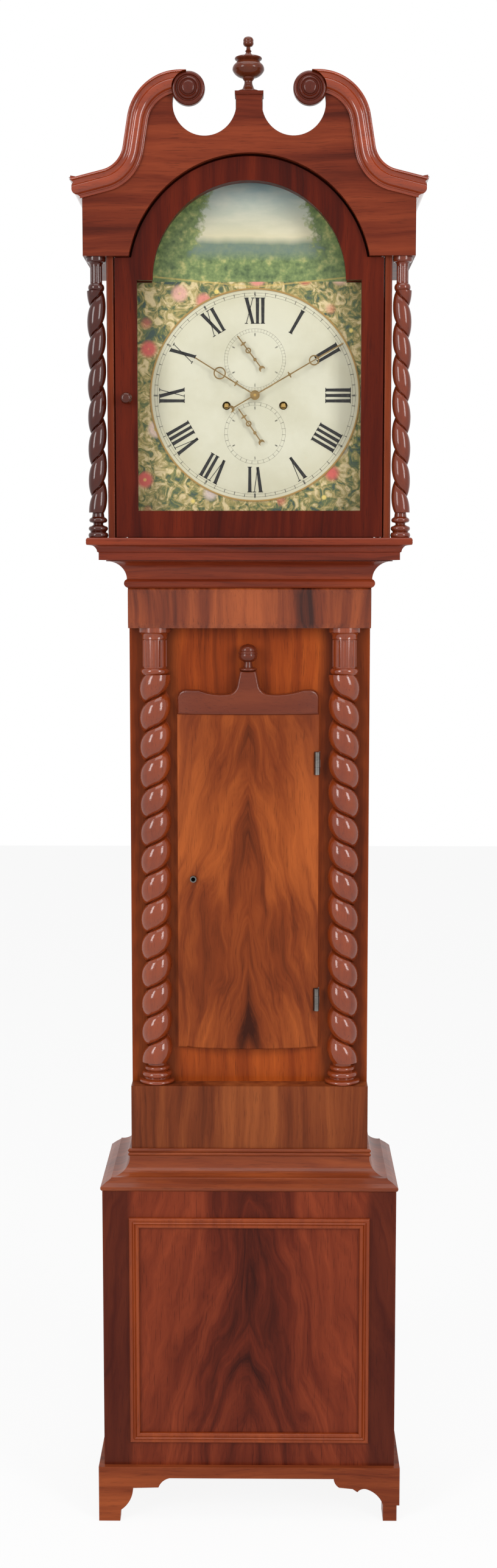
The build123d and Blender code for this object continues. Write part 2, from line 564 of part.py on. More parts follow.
def dial():
    height = DIAL_SHOULDER - DIAL_BOTTOM
    plate = Pos(CENTRE[0], DIAL_BOTTOM + height / 2) * Rectangle(2 * DIAL_HALF, height)
    plate += Pos(*DIAL_ARCH[:2]) * Circle(DIAL_ARCH[2])
    sheet = board(plate, (DIAL_Y, DIAL_Y + 2))
    for centre, radius in ((CENTRE, 5.5), (SECONDS, 2.2), (DATE, 2.2), (GOING, 6.0), (STRIKE, 6.0)):
        sheet -= disc(centre, radius, (DIAL_Y - 1, DIAL_Y + 3))
    ring = board(Pos(*CENTRE) * (Circle(153) - Circle(151)), (DIAL_Y - 1.2, DIAL_Y))
    feet = [disc((CENTRE[0] + x, z), 3, (DIAL_Y + 2, FRONT_PLATE_Y[0])) for x in (-60, 60) for z in (1648,
                                                                                                     1792)]
    save("dial_plate", sheet, ring, *feet)


def movement():
    """Two brass plates on four pillars, with the back cock that carries the pendulum."""
    left, right, low, high = CENTRE[0] - 70, CENTRE[0] + 70, SEATBOARD[1], 1800.0
    front = box((left, right), FRONT_PLATE_Y, (low, high))
    back = box((left, right), BACK_PLATE_Y, (low, high))
    bores = ((CENTRE, 2.0), (GOING, 4.0), (STRIKE, 4.0), (SECONDS, 1.5), (THIRD, 1.5), (PIN_ARBOR, 1.5),
             (FLY, 1.2))
    for centre, radius in bores:
        front -= disc(centre, radius + RUNNING_FIT, (-10, -5))
        back -= disc(centre, radius + RUNNING_FIT, (50, 55))
    front -= disc(PALLET, 1.5 + RUNNING_FIT, (-10, -5))
    front -= disc(MINUTE_STUD, 1.5 + RUNNING_FIT, (-10, -5))
    front -= disc(DATE, 1.5 + RUNNING_FIT, (-10, -5))
    back -= disc(PALLET, 5.0, (50, 55))
    pillars = []
    for place in ((left + 9, low + 10), (right - 18, low + 6), (left + 9, high - 40),
                  (right - 9, high - 9)):
        pillars.append(turned_to_front(place, 51, (4.6, 0), (4.6, 8), (3.2, 14, -1), (3.2, 22),
                                       (5.4, 28.5, 0.5),
                                       (3.2, 35, 0.5), (3.2, 43), (4.6, 49, -1), (4.6, 57)))
    cock = box((-16, 32), (54, 57), (1772, 1790)) - disc(PALLET, 1.5 + RUNNING_FIT, (53, 58))
    jaw = box((2, 14), (57, 80), (1784, 1790))
    save("movement_frame", front, back, *pillars, cock, jaw)
    seat = box((-179, 179), (-40, 95), SEATBOARD)
    for x in (STRIKE[0], GOING[0]):
        seat -= box((x - LINE_R - 3, x + LINE_R + 3), (LINE_Y - 20, LINE_Y + 20), (1619, 1641))
    seat -= box((CENTRE[0] - 16, CENTRE[0] + 16), (60, 96), (1619, 1641))
    for x in (STRIKE[0], GOING[0]):
        seat += box((x - LINE_R - 3, x - LINE_R + 3), (LINE_Y - 20, LINE_Y + 20), (1626, 1640))
    save("seatboard", seat)


def wheel(centre, y, teeth, module, arms=4, phase=0.0, thick=2.0):
    """A crossed-out clock wheel with narrow pointed teeth."""
    root, tip = module * (teeth / 2 - 1.2), module * (teeth / 2 + 0.55)
    step = 2 * math.pi / teeth
    points = []
    for index in range(teeth):
        for offset, radius in ((-0.22, root), (-0.09, tip), (0.09, tip), (0.22, root)):
            turn = (index + offset) * step + math.radians(phase)
            points.append((radius * math.cos(turn), radius * math.sin(turn)))
    blank = make_face(Polyline(*points, close=True))
    rim, hub = root - 3.0, max(4.0, root * 0.2)
    if rim - hub > 5:
        window = Circle(rim) - Circle(hub)
        for index in range(arms):
            window -= Rot(0, 0, 180 / arms * 2 * index) * (Pos(rim / 2, 0) * Rectangle(rim + 2, 3.0))
        blank -= window
    return board(Pos(*centre) * blank, (y, y + thick))


def pinion(centre, y, leaves, module, phase):
    root, tip = module * (leaves / 2 - 1.15), module * (leaves / 2 + 0.5)
    step = 2 * math.pi / leaves
    points = []
    for index in range(leaves):
        for offset, radius in ((-0.17, root), (-0.08, tip), (0.08, tip), (0.17, root)):
            turn = (index + offset) * step + math.radians(phase)
            points.append((radius * math.cos(turn), radius * math.sin(turn)))
    return board(Pos(*centre) * make_face(Polyline(*points, close=True)), y)


def bearing(first, second):
    """The direction from one arbor to the next, in degrees."""
    return math.degrees(math.atan2(second[1] - first[1], second[0] - first[0]))


def facing(teeth, direction):
    """The phase that puts a gap between two teeth in that direction."""
    return direction + 180.0 / teeth


def hand(centre, y, length, angle, pipe_r, hoop, cross, tail):
    """A pierced brass hand: stem, open hoop, cross, tip and tail, pointing along angle from upright."""
    at = lambda distance: Pos(0, distance)
    shape = Circle(pipe_r)
    shape += at(length / 2) * Rectangle(1.8, length)
    shape += at(hoop[0]) * Circle(hoop[1])
    shape += at(cross) * Rectangle(9, 1.8)
    shape += at(cross) * Circle(2.2)
    shape += at(-tail[0] / 2) * Rectangle(1.8, tail[0])
    if tail[1]:
        shape += at(-tail[0]) * Circle(tail[1])
    shape -= at(hoop[0]) * Circle(hoop[1] - 1.9)
    shape += at(hoop[0]) * Rectangle(1.4, 2 * hoop[1] - 1)
    if tail[1]:
        shape -= at(-tail[0] - tail[1] * 0.6) * Circle(tail[1] * 0.75)
    return board(Pos(*centre) * (Rot(0, 0, -angle) * shape), (y, y + 1.0))


def going_train():
    great = 96, 43.866 / 52
    up = bearing(GOING, CENTRE)
    ring = wheel(GOING, -2, great[0], great[1], arms=5, phase=facing(96, up), thick=3)
    ring -= disc(GOING, 7, (-3, 2))
    save("great_wheel_going", ring)
    to_third = bearing(CENTRE, THIRD)
    arbor = disc(CENTRE, 2.0, (-68, 54))
    arbor += pinion(CENTRE, (-4, 3), 8, great[1], up + 180)
    arbor += wheel(CENTRE, 45.5, 60, 0.8, phase=facing(60, to_third))
    arbor += disc(CENTRE, 3.4, (-18, -10))
    arbor += wheel(CENTRE, -16, 40, 0.7, phase=facing(40, -90), thick=2)
    save("centre_wheel", arbor)
    to_escape = bearing(THIRD, SECONDS)
    third = disc(THIRD, 1.5, (-9, 54))
    third += pinion(THIRD, (43, 49), 8, 0.8, to_third + 180)
    third += wheel(THIRD, 10, 56, 26.8 / 31.5, phase=facing(56, to_escape))
    save("third_wheel", third)
    escape = disc(SECONDS, 1.5, (-66, 54))
    escape += pinion(SECONDS, (8, 14), 7, 26.8 / 31.5, to_escape + 180)
    points = []
    for index in range(30):
        for offset, radius in ((0, 17.0), (0.12, 17.0), (0.75, 13.2), (0.98, 13.2)):
            turn = math.radians(12 * (index + offset))
            points.append((radius * math.cos(turn), radius * math.sin(turn)))
    crown = make_face(Polyline(*points, close=True))
    window = Circle(11) - Circle(4)
    for index in range(4):
        window -= Rot(0, 0, 90 * index) * (Pos(6, 0) * Rectangle(14, 2.4))
    escape += board(Pos(*SECONDS) * (crown - window), (30, 31.5))
    escape += hand(SECONDS, -66, 42, 322.7, 2.4, (16, 4.2), 28, (17, 4.5))
    save("escape_wheel", escape)
    minute = hand(CENTRE, -69, 148, 60, 4.5, (99, 7.5), 58, (40, 5))
    save("minute_hand", minute - disc(CENTRE, 2.0, (-70, -60)))
    hour = board(Pos(*CENTRE) * (Circle(5.2) - Circle(2.2)), (-67, -19))
    spread = wheel(CENTRE, -21, 72, 28 / 39, phase=facing(72, -90), thick=2) - disc(CENTRE, 2.2, (-22, -18))
    blade = hand(CENTRE, -67.5, 102, 301.6, 7, (60, 9), 32, (0.1, 0)) - disc(CENTRE, 2.2, (-70, -60))
    save("hour_hand", hour + spread + blade)
    stud = disc(MINUTE_STUD, 1.5, (-24, -6))
    stud += wheel(MINUTE_STUD, -16, 40, 0.7, phase=90, thick=2)
    stud += pinion(MINUTE_STUD, (-22.5, -18.2), 6, 28 / 39, 90)
    save("minute_wheel", stud)
    date = disc(DATE, 1.5, (-66, -6)) + wheel(DATE, -34, 31, 0.66, thick=1.5)
    date += hand(DATE, -66, 42, 325.3, 2.4, (16, 4.2), 28, (17, 4.5))
    save("date_hand", date)


def pallets_and_pendulum():
    arbor = disc(PALLET, 1.5, (-9, 60))
    anchor = Pos(*PALLET) * Circle(4) + Pos(*SECONDS) * (Circle(21) - Circle(17.8))
    keep = Pos(8, 1778) * Rectangle(34, 18)
    strap = Pos(8, 1779) * Rectangle(6, 4)
    anchor = (anchor & keep) + strap
    shape = arbor + board(anchor, (29.5, 32))
    shape += box((6.8, 9.2), (58, 60), (1697, 1781))
    for x, y in (((3, 5.4), (58, 76)), ((10.6, 13), (58, 76)), ((3, 13), (58, 60))):
        shape += box(x, y, (1697, 1701))
    save("pallets", shape)
    x, top = PALLET
    bob_z = top - PENDULUM_LENGTH
    rod = box((x - 5, x + 5), (PENDULUM_Y - 0.3, PENDULUM_Y + 0.3), (top - 24, top + 2))
    rod += box((x - 4, x + 4), (PENDULUM_Y - 2.5, PENDULUM_Y + 2.5), (top - 34, top - 22))
    rod += post(x, PENDULUM_Y, 2.2, (bob_z - 75, top - 30))
    nut = turned(x, PENDULUM_Y, (9, bob_z - 69), (9, bob_z - 63, 0.8), (4, bob_z - 61))
    save("pendulum_rod", rod + nut)
    lens = turned_to_front((x, bob_z), PENDULUM_Y + 13, (20, 0), (55, 12, 2.2), (55, 14), (20, 26, 2.2))
    save("pendulum_bob", lens - post(x, PENDULUM_Y, 2.2, (bob_z - 80, bob_z + 80)))


def drive(side, centre):
    """Barrel, gut line, pulley and weight of one train."""
    x, z = centre
    drum = disc(centre, LINE_R - 1.2, (5, 39)) + disc(centre, 24, (4, 5.5)) + disc(centre, 24, (38.5, 40))
    arbor = disc(centre, 4.0, (-50, 54)) + board(Pos(*centre) * Rectangle(5.2, 5.2), (-66, -50))
    clicks = disc(centre, 11, (1.5, 3.8))
    save(f"barrel_{side}", drum + arbor + clicks)
    rest = PULLEY_REST_Z
    pulley = turned_to_front((x, rest), LINE_Y + 4, (LINE_R + 1, 0), (LINE_R + 1, 1.2),
                             (LINE_R - 1.4, 4, -0.6),
                             (LINE_R + 1, 6.8, -0.6), (LINE_R + 1, 8))
    pulley -= disc((x, rest), 2 + RUNNING_FIT, (LINE_Y - 10, LINE_Y + 10))
    save(f"pulley_{side}", pulley)
    top = rest - 45
    body = turned(x, LINE_Y, (WEIGHT_R - 2, top - WEIGHT_HEIGHT), (WEIGHT_R, top - WEIGHT_HEIGHT + 3, 0.6),
                  (WEIGHT_R, top - 6), (WEIGHT_R - 8, top, 2))
    strap = box((x - 5, x + 5), (LINE_Y - 8, LINE_Y + 8), (top - 1, rest + 8))
    strap -= box((x - 6, x + 6), (LINE_Y - 5, LINE_Y + 5), (rest - LINE_R - 6, rest + 9))
    strap += disc((x, rest), 2, (LINE_Y - 8, LINE_Y + 8))
    save(f"weight_{side}", body + strap)
    runs = [post(x + LINE_R, LINE_Y, 0.9, (rest, z)), post(x - LINE_R, LINE_Y, 0.9, (rest, 1626))]
    save(f"line_{side}", *runs)


def striking():
    up = bearing(STRIKE, PIN_ARBOR)
    great = wheel(STRIKE, -2, 78, 0.84, arms=5, phase=facing(78, up), thick=3) - disc(STRIKE, 7, (-3, 2))
    save("great_wheel_strike", great)
    to_fly = bearing(PIN_ARBOR, FLY)
    pins = disc(PIN_ARBOR, 1.5, (-9, 54)) + pinion(PIN_ARBOR, (-4, 3), 8, 0.84, up + 180)
    pins += wheel(PIN_ARBOR, 42, 56, 0.8, phase=facing(56, to_fly), thick=1.5)
    for index in range(8):
        turn = math.radians(45 * index)
        place = (PIN_ARBOR[0] + 18.2 * math.cos(turn), PIN_ARBOR[1] + 18.2 * math.sin(turn))
        pins += disc(place, 1.0, (43, 49))
    save("pin_wheel", pins)
    fly = disc(FLY, 1.2, (-9, 54)) + pinion(FLY, (40.5, 45), 7, 0.8, to_fly + 180)
    fly += box((FLY[0] - 13, FLY[0] + 13), (14, 36), (FLY[1] - 0.5, FLY[1] + 0.5))
    save("fly", fly)
    bell = turned(8, 25, (38, 1814), (39, 1815), (33, 1836, 3), (10, 1845, 4), (3, 1846))
    bell -= turned(8, 25, (35, 1813), (36, 1815), (30.5, 1834, 3), (9, 1842.5, 4), (3, 1843))
    bell -= post(8, 25, 2.5, (1800, 1860))
    stand = box((-15, -5), (57, 59), (1775, 1809)) + box((-15, -5), (20, 59), (1806, 1809))
    stand += box((-15, 13), (20, 30), (1806, 1809)) + post(8, 25, 2.5, (1809, 1850))
    nut = post(8, 25, 5, (1846, 1850)) - post(8, 25, 2.5, (1845, 1851))
    save("bell", bell, stand + nut)
    x, z = HAMMER
    hammer = disc((x, z), 2, (-5.9, 50.9)) + box((x - 1.5, x + 1.5), (23.5, 26.5), (z, 1822))
    hammer += box((x - 2.5, x + 9), (21, 29), (1817, 1827))
    save("hammer", hammer)


skirt()
plinth()
plinth_top()
trunk()
backboard()
trunk_columns()
hood_columns()
trunk_door()
hinges()
lock()
hood_base()
hood_case()
hood_door()
pediment()
swan_neck("swan_neck_right", False)
swan_neck("swan_neck_left", True)
paterae_and_finial()
dial()
movement()
going_train()
pallets_and_pendulum()
drive("going", GOING)
drive("strike", STRIKE)
striking()
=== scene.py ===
# %% [markdown]
# A longcase clock in its polished mahogany case.
# The joiner's and clockmaker's work is in the frame: every board, turning and wheel is already there
# at its real size. This lesson dresses it: the veneers, the polish, the painted dial, the brass and
# the glass. The frame is loaded first, and nothing of it is moved. Only the two gut lines are made
# anew.

# %% Load the frame
import math
import bpy
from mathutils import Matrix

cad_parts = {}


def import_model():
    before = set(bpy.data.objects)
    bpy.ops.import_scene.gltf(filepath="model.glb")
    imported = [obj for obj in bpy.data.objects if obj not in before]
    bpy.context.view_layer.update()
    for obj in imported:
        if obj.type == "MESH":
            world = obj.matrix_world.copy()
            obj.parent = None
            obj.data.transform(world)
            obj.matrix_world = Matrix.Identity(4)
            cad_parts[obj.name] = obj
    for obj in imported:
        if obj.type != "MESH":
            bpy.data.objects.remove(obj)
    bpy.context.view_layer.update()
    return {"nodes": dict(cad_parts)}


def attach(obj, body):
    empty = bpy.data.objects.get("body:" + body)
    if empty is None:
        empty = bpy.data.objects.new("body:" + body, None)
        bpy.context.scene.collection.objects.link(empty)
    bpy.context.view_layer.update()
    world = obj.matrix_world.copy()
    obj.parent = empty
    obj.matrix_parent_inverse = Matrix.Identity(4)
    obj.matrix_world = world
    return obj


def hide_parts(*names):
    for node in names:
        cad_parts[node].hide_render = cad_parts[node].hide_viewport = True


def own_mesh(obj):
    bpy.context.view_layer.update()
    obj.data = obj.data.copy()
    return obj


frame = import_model()
bpy.ops.object.select_all(action="DESELECT")

# %% [markdown]
# Shader maths reads best as arithmetic. A small class wraps one socket, so that a + b or 1 - mask
# adds the Math node that it needs. Nodes could also be placed and linked one by one, but a pattern
# such as the rings of the dial would then be hard to read.

# %% Sockets as numbers
class Value:
    """One float socket of a material's node tree that can be calculated with."""

    def __init__(self, tree, socket):
        self.tree, self.socket = tree, socket

    def math(self, operation, *others, clamp=False):
        node = self.tree.nodes.new("ShaderNodeMath")
        node.operation = operation
        node.use_clamp = clamp
        for index, item in enumerate((self, *others)):
            plug(self.tree, node.inputs[index], item)
        return Value(self.tree, node.outputs[0])

    def __add__(self, other):
        return self.math("ADD", other)

    def __radd__(self, other):
        return self.math("ADD", other)

    def __mul__(self, other):
        return self.math("MULTIPLY", other)

    def __rmul__(self, other):
        return self.math("MULTIPLY", other)

    def __sub__(self, other):
        return self.math("SUBTRACT", other)

    def __rsub__(self, other):
        return (self * -1).math("ADD", other)

    def __truediv__(self, other):
        return self.math("DIVIDE", other)

    def __abs__(self):
        return self.math("ABSOLUTE")

    def below(self, limit, soft):
        """1 where the value is under the limit and 0 above it, with a soft edge."""
        return ((self * -1 + (limit + soft / 2)) / soft).clamped()

    def clamped(self):
        """The value kept between 0 and 1."""
        return self.math("ADD", 0.0, clamp=True)


def plug(tree, target, item):
    """Links a socket, or sets the target's own value."""
    if isinstance(item, Value):
        tree.links.new(item.socket, target)
    elif isinstance(item, bpy.types.NodeSocket):
        tree.links.new(item, target)
    elif isinstance(item, tuple) and len(item) == 3 and target.type == "RGBA":
        target.default_value = (*item, 1.0)
    else:
        target.default_value = item


print("float sockets can be added, multiplied and compared")

# %% [markdown]
# Each finish is a node tree that ends in one Principled shader. All patterns are worked out from
# Object coordinates, in metres, so no piece needs unwrapping and the grain has its real size. A class
# keeps the tree and offers the few nodes that wood, metal and paint are made of.

# %% A finish and its nodes
class Finish:
    """A material that ends in one Principled shader."""

    def __init__(self, name):
        self.material = bpy.data.materials.new(name)
        self.material.use_nodes = True
        self.tree = self.material.node_tree
        self.shader = self.tree.nodes["Principled BSDF"]
        self.place = self.tree.nodes.new("ShaderNodeTexCoord").outputs["Object"]

    def node(self, kind, settings=None, **inputs):
        """The first output of any node: its settings first, then its sockets (with _ for a blank)."""
        made = self.tree.nodes.new("ShaderNode" + kind)
        for name, value in (settings or {}).items():
            setattr(made, name, value)
        for name, value in inputs.items():
            plug(self.tree, made.inputs[name.replace("_", " ")], value)
        return made.outputs[0]

    def value(self, socket):
        return Value(self.tree, socket)

    def moved(self, move):
        return self.node("Mapping", Vector=self.place, Location=move)

    def xyz(self, vector=None):
        """The three coordinates of a vector, or of the place itself."""
        split = self.tree.nodes.new("ShaderNodeSeparateXYZ")
        self.tree.links.new(vector or self.place, split.inputs[0])
        return [Value(self.tree, socket) for socket in split.outputs]

    def vector(self, x, y, z):
        return self.node("CombineXYZ", X=x, Y=y, Z=z)

    def noise(self, vector, scale=1.0, detail=4.0, rough=0.55, bend=0.0):
        return self.value(self.node("TexNoise", Vector=vector, Scale=scale, Detail=detail,
                                    Roughness=rough, Distortion=bend))

    def ramp(self, value, *stops):
        """Colour stops: (position, colour)."""
        made = self.tree.nodes.new("ShaderNodeValToRGB")
        band = made.color_ramp
        while len(band.elements) < len(stops):
            band.elements.new(0.5)
        for element, (position, colour) in zip(band.elements, stops):
            element.position = position
            element.color = (*colour, 1.0)
        plug(self.tree, made.inputs[0], value)
        return made.outputs[0]

    def mix(self, factor, under, over):
        """Lays one colour over another by the factor."""
        made = self.tree.nodes.new("ShaderNodeMix")
        made.data_type = "RGBA"
        plug(self.tree, made.inputs[0], factor)
        plug(self.tree, made.inputs[6], under)
        plug(self.tree, made.inputs[7], over)
        return made.outputs[2]

    def finish(self, **sockets):
        """Sets or links the Principled shader's sockets."""
        for name, value in sockets.items():
            plug(self.tree, self.shader.inputs[name.replace("_", " ")], value)
        return self.material

    def bump(self, height, strength, distance):
        return self.node("Bump", Height=height, Strength=strength, Distance=distance)


print("a finish starts from", bpy.app.version_string, "and its Principled shader")

# %% [markdown]
# Mahogany is a red-brown wood with fine pores and a grain that shows as long streaks. The straight
# lengths are cut along the grain, and the best veneers are cut at a crotch of the tree, where a dark
# plume rises with feathers that arch down to both sides. Both come from noise on Object coordinates:
# stretched along the grain for the plain wood, and on a coordinate that falls away from the middle
# for the crotch veneer. A thin coat over it is the French polish.

# %% Mahogany
DARK, MID, LIGHT = (0.030, 0.0075, 0.0035), (0.16, 0.040, 0.012), (0.34, 0.105, 0.028)


def tinted(colour, tint, lift=1.0):
    return tuple(c * t * lift for c, t in zip(colour, tint))


def mahogany(name, along="Z", tint=(1, 1, 1), lift=1.0, contrast=1.0, plume=None, dim=(), gloss=0.34,
             coat=0.06, seed=0.0):
    """Polished mahogany. along is the axis of the grain; plume is (x, width, depth) of a crotch figure;
    dim lists (x, half width) of upright strips that are darkened as painted shade."""
    wood = Finish(name)
    x, y, z = wood.xyz(wood.moved((seed, seed * 0.7, seed * 1.3)))
    across_a, across_b, run = {"Z": (x, y, z), "X": (z, y, x)}[along]
    waver = wood.noise(wood.vector(across_a * 3, across_b * 3, run * 1.4), 2.0, 3.0) - 0.5
    if plume:
        real_x, _, real_z = wood.xyz()
        away = abs(real_x - plume[0])
        fall = away + real_z * 0.22 + waver * 0.16
        feather = wood.vector(fall * 42, y * 8, real_z * 3.2 - away * 7)
        streak = wood.noise(feather, 1.0, 7.0, 0.62, 0.6)
        broad = wood.noise(wood.vector(fall * 9, y * 2, real_z * 2.0 - away * 4), 1.0, 3.0)
        heart = (away * -1 / plume[1]).math("EXPONENT")
        tone = streak * 0.75 + broad * 0.55 - heart * plume[2] * (broad + 0.35) - 0.06
    else:
        lines = wood.vector(across_a * 55 + waver * 3, across_b * 55, run * 2.2)
        streak = wood.noise(lines, 1.0, 7.0, 0.6, 0.3)
        broad = wood.noise(wood.vector(across_a * 9 + waver, across_b * 9, run * 1.1), 1.0, 3.0)
        tone = streak * 0.65 + broad * 0.6 - 0.1
    tone = (tone - 0.5) * contrast + 0.5
    pores = wood.noise(wood.vector(across_a * 900, across_b * 900, run * 38), 1.0, 2.0, 0.5)
    pore_mask = pores.below(0.36, 0.08)
    colour = wood.ramp(tone.clamped(), (0.25, tinted(DARK, tint, lift)), (0.47, tinted(MID, tint, lift)),
                       (0.78, tinted(LIGHT, tint, lift)))
    colour = wood.mix(pore_mask * 0.35, colour, tinted(DARK, tint, lift * 0.8))
    soil = wood.noise(wood.place, 7.0, 3.0)
    colour = wood.mix((soil - 0.35).clamped() * 0.35, colour, tinted(DARK, tint, lift * 1.3))
    # Painted shade: each dim strip darkens the wood in an upright band, where it would lie in shadow.
    for centre, half in dim:
        shade_strip = abs(wood.xyz()[0] - centre).below(half, half * 0.5)
        colour = wood.mix(shade_strip * 0.62, colour, tinted(DARK, tint, 1.2))
    rough = soil * 0.14 + (gloss - 0.05)
    normal = wood.bump(pore_mask * -1 + streak * 0.4, 0.10, 0.0004)
    return wood.finish(Base_Color=colour, Roughness=rough, Normal=normal, Coat_Weight=coat,
                       Coat_Roughness=0.1, Specular_IOR_Level=0.09)


print("mahogany runs from", DARK, "to", LIGHT)

# %% [markdown]
# Each board of the case was cut from its own piece of wood, so each gets its own tint and grain.
# The brightest are the swan necks and the beads. The darkest are the left hood column, whose darker tint
# than its right twin's is painted shade, and the door of the hood and its knob. Upright strips of painted
# shade darken the front frame beside the trunk columns and the plinth near its sides. The table says which
# wood each piece of the frame wears.

# %% Woods of the case
WOODS = {
    "trunk_door_panel": mahogany(
        "door_veneer", plume=(-0.002, 0.035, 0.20), tint=(1.12, 0.85, 0.65), lift=1.06, contrast=1.25),
    # The frame's dim strips are painted shade between the door and the trunk columns.
    "trunk_front_frame": mahogany(
        "frame_veneer", tint=(1.3, 0.85, 0.45), lift=1.15, contrast=1.2,
        dim=((-0.142, 0.034), (0.142, 0.036)), seed=1.1),
    # The plinth's dim strips are painted shade near both of its sides.
    "plinth_carcass": mahogany(
        "plinth_veneer", plume=(0.0, 0.06, 0.15), tint=(1.0, 0.56, 0.7), lift=0.72,
        dim=((-0.202, 0.022), (0.202, 0.022)), contrast=1.1, seed=0.4),
    "trunk_lower_band": mahogany(
        "band_veneer", tint=(1.15, 1.0, 1.0), lift=0.88, contrast=1.2, seed=2.2),
    "cushion_frieze": mahogany(
        "frieze_veneer", tint=(1.1, 0.8, 0.8), lift=0.95, contrast=1.6, gloss=0.24, coat=0.5, seed=2.9),
    "hood_door_frame": mahogany(
        "hood_door_wood", tint=(1.0, 0.36, 0.35), lift=0.4, contrast=1.3, seed=3.3),
    "pediment_board": mahogany(
        "pediment_wood", along="X", tint=(1.05, 0.66, 0.9), lift=0.72, contrast=1.2, seed=3.9),
    "hood_sides": mahogany("hood_side_wood", tint=(1.1, 0.7, 0.7), lift=0.75, seed=4.2),
    "trunk_sides": mahogany("trunk_side_wood", tint=(1.15, 0.75, 0.7), lift=0.85, seed=4.7),
    "skirt": mahogany(
        "skirt_wood", along="X", tint=(1.15, 0.85, 0.9), lift=0.95, contrast=1.3, seed=5.1),
    "hood_base_frame": mahogany(
        "base_moulding", along="X", tint=(1.15, 0.6, 0.6), lift=0.85, coat=0.3, seed=5.6),
    "throat_moulding": mahogany(
        "throat_wood", along="X", tint=(1.1, 0.6, 0.6), lift=0.85, coat=0.3, seed=6.0),
    "plinth_top_moulding": mahogany(
        "cove_wood", along="X", tint=(1.15, 0.85, 0.8), lift=0.95, coat=0.3, seed=6.4),
    "plinth_panel_moulding": mahogany(
        "bead_wood", tint=(1.3, 0.85, 0.6), lift=1.05, contrast=0.5, coat=0.3, seed=6.8),
    "trunk_door_head": mahogany(
        "door_head_wood", along="X", tint=(1.0, 0.68, 0.8), lift=0.75, contrast=0.5, gloss=0.26, coat=0.4),
    "paterae": mahogany(
        "patera_wood", tint=(1.0, 0.5, 0.5), lift=0.5, contrast=0.5, coat=0.4, seed=7.2),
    "finial": mahogany(
        "finial_wood", tint=(1.1, 0.75, 0.7), lift=0.5, contrast=0.6, coat=0.4, seed=7.5),
    # The left hood column is tinted darker than its right twin as painted shade.
    "hood_column_left": mahogany(
        "left_twist_painted_shade", tint=(0.8, 0.4, 0.5), lift=0.36, contrast=0.6, gloss=0.2, coat=0.7, seed=7.9),
    "hood_column_right": mahogany(
        "brown_twist", tint=(1.1, 0.65, 0.65), lift=0.75, contrast=0.6, gloss=0.2, coat=0.7, seed=8.3),
    "hood_door_knob": mahogany(
        "knob_wood", tint=(0.9, 0.5, 0.5), lift=0.35, contrast=0.4, gloss=0.2, coat=0.6, seed=8.8),
}
NECK_WOOD = mahogany(
    "swan_neck_wood", along="X", tint=(1.5, 0.75, 0.5), lift=0.85, contrast=0.5, gloss=0.16, coat=0.9,
    seed=9.3)
TWIST_WOOD = mahogany(
    "trunk_twist_wood", tint=(1.4, 0.85, 0.6), lift=0.86, contrast=0.6, gloss=0.16, coat=0.9, seed=9.9)
for side in ("left", "right"):
    WOODS[f"swan_neck_{side}"] = NECK_WOOD
    WOODS[f"trunk_column_{side}"] = TWIST_WOOD
WOODS["hood_mask"] = WOODS["hood_door_frame"]
print("pieces with a wood of their own:", len(WOODS))

# %% [markdown]
# The back and the boards inside are plain pine, greyed by age. The movement is brass that has
# dulled between its lacquered high spots, the locks, hinges, hammer, pallets and pendulum rod are dark
# steel, the weights are rough cast iron, and the lines are twisted gut.

# %% Pine, metals and gut
def pine():
    wood = Finish("aged_pine")
    x, y, z = wood.xyz()
    grain = wood.noise(wood.vector(x * 40, y * 40, z * 1.5), 1.0, 6.0, 0.6, 0.4)
    colour = wood.ramp(grain, (0.3, (0.10, 0.055, 0.026)), (0.55, (0.25, 0.15, 0.075)),
                       (0.8, (0.36, 0.24, 0.13)))
    dust = wood.noise(wood.place, 9.0, 4.0)
    colour = wood.mix((dust - 0.4).clamped() * 0.6, colour, (0.14, 0.12, 0.10))
    return wood.finish(Base_Color=colour, Roughness=0.8, Normal=wood.bump(grain, 0.25, 0.0006))


def metal(name, colour, dull, shine, rough, cast=0.0):
    """A metal whose surface goes from bright to dull in soft patches."""
    ware = Finish(name)
    patch = ware.noise(ware.place, 60.0, 5.0)
    fine = ware.noise(ware.place, 900.0, 3.0)
    tone = ware.mix((patch * 1.6 - 0.45).clamped(), colour, dull)
    return ware.finish(Base_Color=tone, Metallic=shine, Roughness=patch * 0.2 + rough,
                       Normal=ware.bump(fine, 0.08 + cast, 0.0003))


def gut():
    line = Finish("gut_line")
    x, y, z = line.xyz()
    strand = ((z * 2400 + x * 900 + y * 900).math("SINE") * 0.5) + 0.5
    colour = line.mix(strand, (0.20, 0.12, 0.05), (0.50, 0.36, 0.18))
    return line.finish(Base_Color=colour, Roughness=0.5, Normal=line.bump(strand, 0.6, 0.0003))


PINE = pine()
BRASS = metal("aged_brass", (0.62, 0.42, 0.14), (0.26, 0.15, 0.05), 1.0, 0.22)
GILT = metal("hand_brass", (0.34, 0.23, 0.10), (0.08, 0.05, 0.02), 1.0, 0.32)
STEEL = metal("dark_steel", (0.20, 0.19, 0.18), (0.07, 0.06, 0.05), 1.0, 0.35)
IRON = metal("cast_iron_skin", (0.05, 0.047, 0.045), (0.10, 0.05, 0.03), 0.4, 0.6, cast=0.4)
GUT = gut()
print("made", ", ".join(made.name for made in (PINE, BRASS, GILT, STEEL, IRON, GUT)))

# %% [markdown]
# The dial is a sheet of iron, primed and painted. Its round middle is a warm ivory that has
# yellowed, with a ring of minute marks, and two small dials for the seconds and the date. All of them
# are worked out from the distance and the direction to a middle, so rings and ticks stay sharp at
# any size of picture.

# %% Rings and ticks
DIAL_X, DIAL_Z = 0.008, 1.706


def ring_mask(distance, radius, width):
    """1 on a ring with soft edges."""
    return abs(distance - radius).below(width / 2, width * 0.5)


